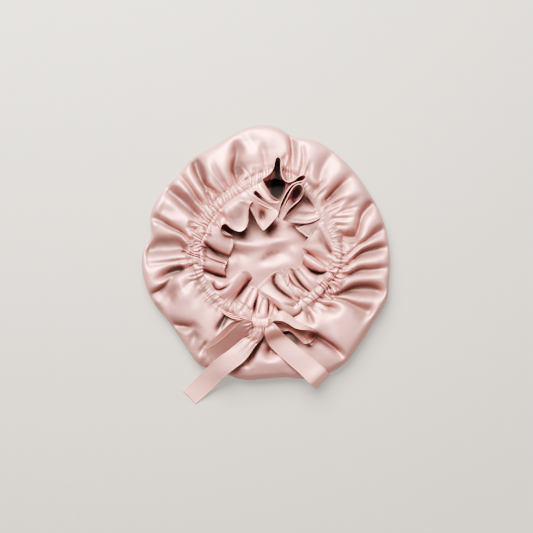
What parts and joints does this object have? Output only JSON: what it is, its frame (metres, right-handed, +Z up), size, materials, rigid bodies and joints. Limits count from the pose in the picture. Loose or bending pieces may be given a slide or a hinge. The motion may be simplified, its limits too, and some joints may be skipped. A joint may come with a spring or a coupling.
{
  "type": "sleep bonnet",
  "caption": "Gathered satin sleep bonnet lying flat with its opening up: a puffed round crown, an elastic casing, a ruffle falling over the opening, and a ribbon bow at the front.",
  "frame": {"origin": "on the surface that the bonnet lies on, under the middle of its opening", "axes": "+Z up out of the opening, -Y towards the bow at the front edge, +X to the right as seen from above"},
  "size_m": [0.3295, 0.3711, 0.0531],
  "materials": {
    "rose_satin": "satin",
    "rose_ribbon": "satin"
  },
  "bodies": {
    "root": {"crown": "rose_satin", "elastic_casing": "rose_satin", "ruffle": "rose_satin", "ribbon_knot": "rose_ribbon", "ribbon_lead_left": "rose_ribbon", "ribbon_lead_right": "rose_ribbon", "ribbon_loop_left": "rose_ribbon", "ribbon_loop_right": "rose_ribbon", "ribbon_tail_left": "rose_ribbon", "ribbon_tail_right": "rose_ribbon"}
  },
  "joints": []
}
